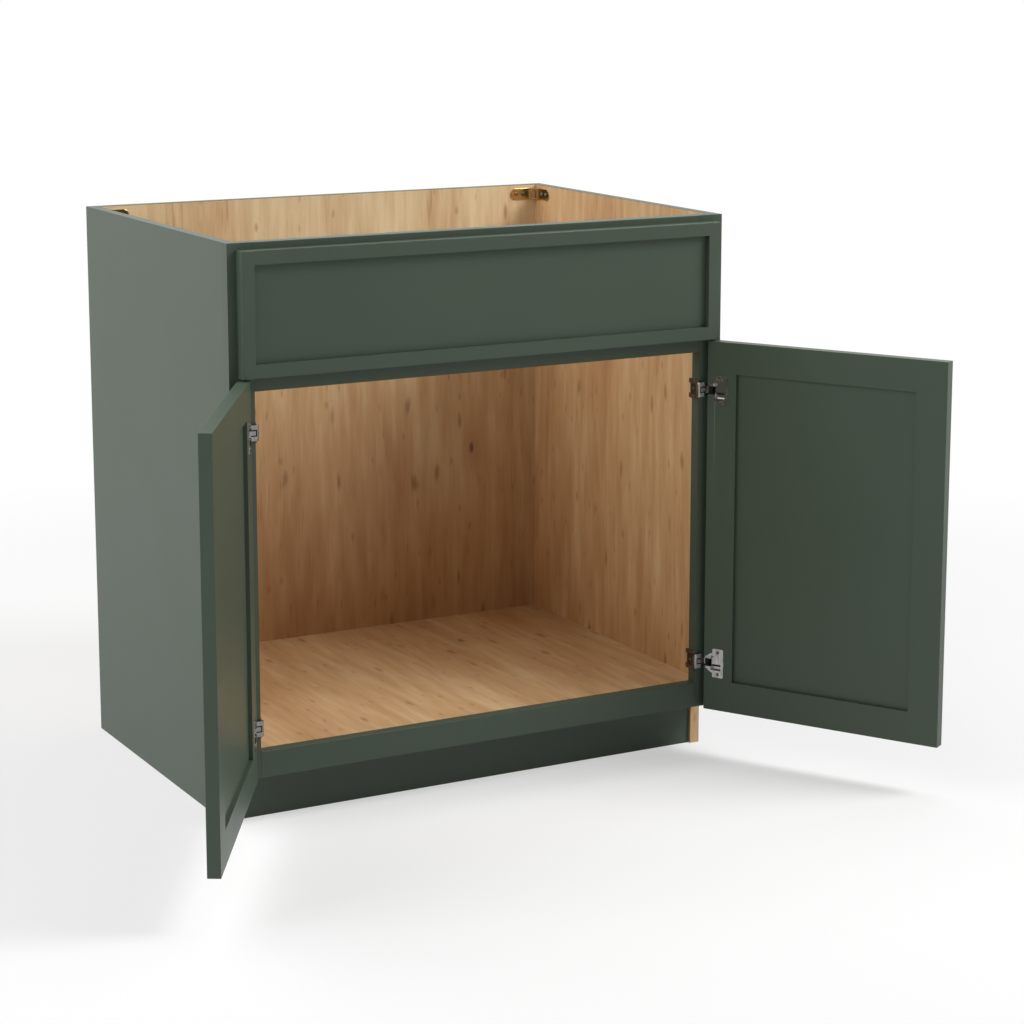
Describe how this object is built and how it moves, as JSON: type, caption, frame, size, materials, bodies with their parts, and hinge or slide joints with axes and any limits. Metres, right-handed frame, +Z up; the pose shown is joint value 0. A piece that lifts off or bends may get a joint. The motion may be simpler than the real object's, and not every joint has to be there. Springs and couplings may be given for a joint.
{
  "type": "sink base cabinet",
  "caption": "Face-frame sink base cabinet with an open top, a fixed false drawer front, a recessed toe kick and slim-shaker doors on concealed hinges.",
  "frame": {"origin": "on the floor, in the middle of the wall side", "axes": "+X to the right as seen from the front, +Y into the wall, +Z up; the doors face -Y and stand open at rest"},
  "size_m": [1.2158, 0.95, 0.8763],
  "materials": {
    "green_paint": "satin dark sage paint on wood; the side panels are bare pale wood inside",
    "natural_wood": "clear satin on pale knotty wood",
    "nickel": "nickel plate",
    "yellow_zinc": "yellow zinc plate"
  },
  "bodies": {
    "carcass": {"back_left_corner_brace": "yellow_zinc", "back_panel": "natural_wood", "back_right_corner_brace": "yellow_zinc", "corner_brace_screws": "yellow_zinc", "deck_panel": "natural_wood", "false_front_bottom_rail": "green_paint", "false_front_left_stile": "green_paint", "false_front_panel": "green_paint", "false_front_right_stile": "green_paint", "false_front_screws": "nickel", "false_front_top_rail": "green_paint", "frame_bottom_rail": "green_paint", "frame_mid_rail": "green_paint", "frame_top_rail": "green_paint", "front_left_corner_brace": "yellow_zinc", "front_right_corner_brace": "yellow_zinc", "hinge_base_screws": "nickel", "left_frame_stile": "green_paint", "left_lower_hinge_arm": "nickel", "left_lower_hinge_base": "nickel", "left_side_panel": "green_paint", "left_upper_hinge_arm": "nickel", "left_upper_hinge_base": "nickel", "right_frame_stile": "green_paint", "right_lower_hinge_arm": "nickel", "right_lower_hinge_base": "nickel", "right_side_panel": "green_paint", "right_upper_hinge_arm": "nickel", "right_upper_hinge_base": "nickel", "toe_kick_board": "green_paint"},
    "left_door": {"left_door_bottom_rail": "green_paint", "left_door_free_stile": "green_paint", "left_door_hinge_screws": "nickel", "left_door_hinge_stile": "green_paint", "left_door_panel": "green_paint", "left_door_top_rail": "green_paint", "left_lower_hinge_cup": "nickel", "left_lower_hinge_pin": "nickel", "left_upper_hinge_cup": "nickel", "left_upper_hinge_pin": "nickel"},
    "right_door": {"right_door_bottom_rail": "green_paint", "right_door_free_stile": "green_paint", "right_door_hinge_screws": "nickel", "right_door_hinge_stile": "green_paint", "right_door_panel": "green_paint", "right_door_top_rail": "green_paint", "right_lower_hinge_cup": "nickel", "right_lower_hinge_pin": "nickel", "right_upper_hinge_cup": "nickel", "right_upper_hinge_pin": "nickel"}
  },
  "joints": [
    {"name": "left_door_hinge", "type": "hinge", "parent": "carcass", "child": "left_door", "pos_m": [-0.4, -0.6009, 0.3773], "axis": [0, 0, 1], "range_deg": [0, 120]},
    {"name": "right_door_hinge", "type": "hinge", "parent": "carcass", "child": "right_door", "pos_m": [0.4, -0.6009, 0.3773], "axis": [0, 0, 1], "range_deg": [-120, 0]}
  ]
}
